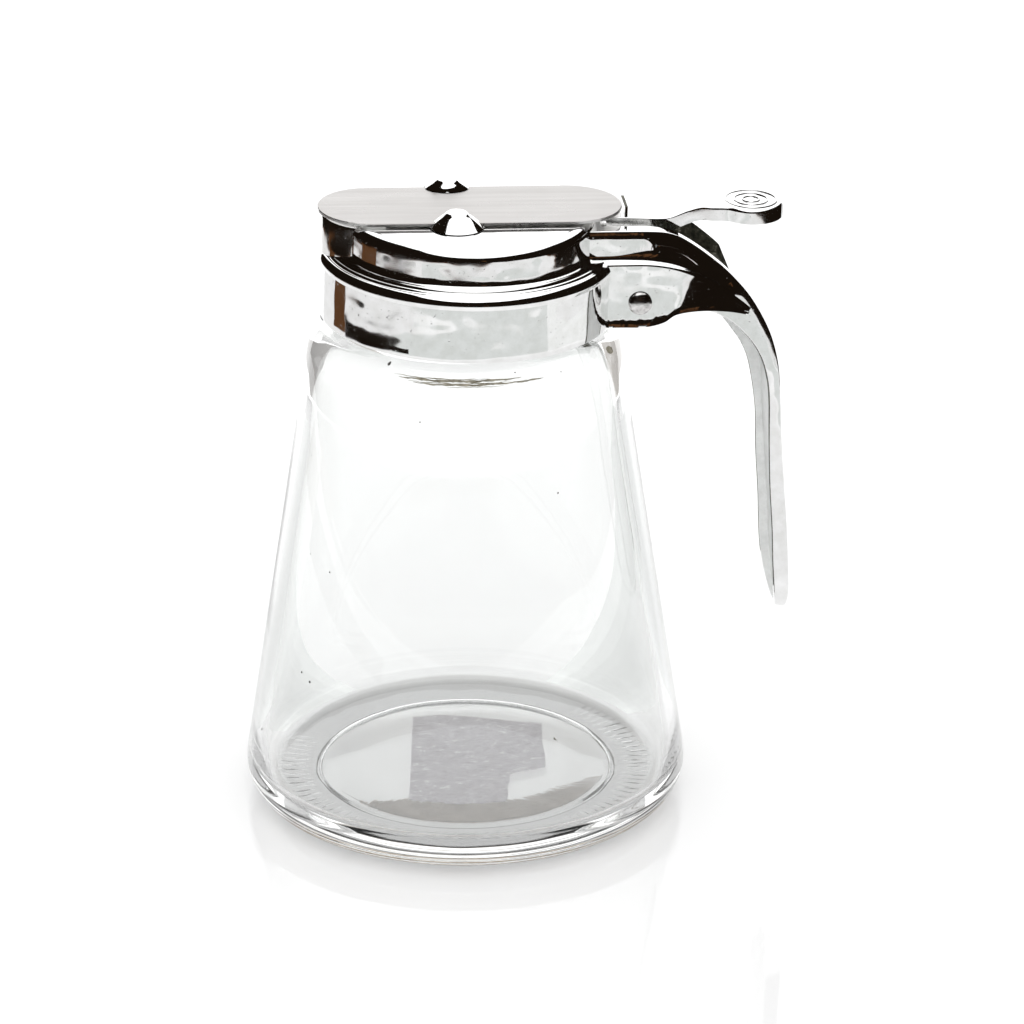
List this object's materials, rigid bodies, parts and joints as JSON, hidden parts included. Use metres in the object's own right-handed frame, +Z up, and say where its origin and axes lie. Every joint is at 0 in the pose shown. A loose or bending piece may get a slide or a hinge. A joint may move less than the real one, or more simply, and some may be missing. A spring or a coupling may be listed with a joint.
{
  "type": "syrup dispenser",
  "caption": "Empty conical glass syrup dispenser with a chromed pouring cap, channel handle and a sprung thumb slide that opens the spout.",
  "frame": {"origin": "middle of the bounding box's underside, on the table", "axes": "+Z up, +X from the spout towards the handle, +Y to the back"},
  "size_m": [0.1124, 0.0918, 0.131],
  "materials": {
    "clear_glass": "clear moulded soda glass",
    "chrome": "polished chrome plating",
    "satin_steel": "satin",
    "paper": "worn matt paper, mauve grey"
  },
  "bodies": {
    "dispenser": {"jar": "clear_glass", "base_label": "paper", "cap": "chrome", "rivet_front": "chrome", "rivet_back": "chrome", "guide_stud_front": "chrome", "guide_stud_back": "chrome"},
    "shutter": {"shutter_plate": "satin_steel", "thumb_lever": "chrome"}
  },
  "joints": [
    {"name": "shutter_slide", "type": "slide", "parent": "dispenser", "child": "shutter", "axis": [0.9997, 0, -0.0262], "range_m": [0, 0.014], "stiffness_N_per_m": 150, "springref_m": -0.01}
  ]
}
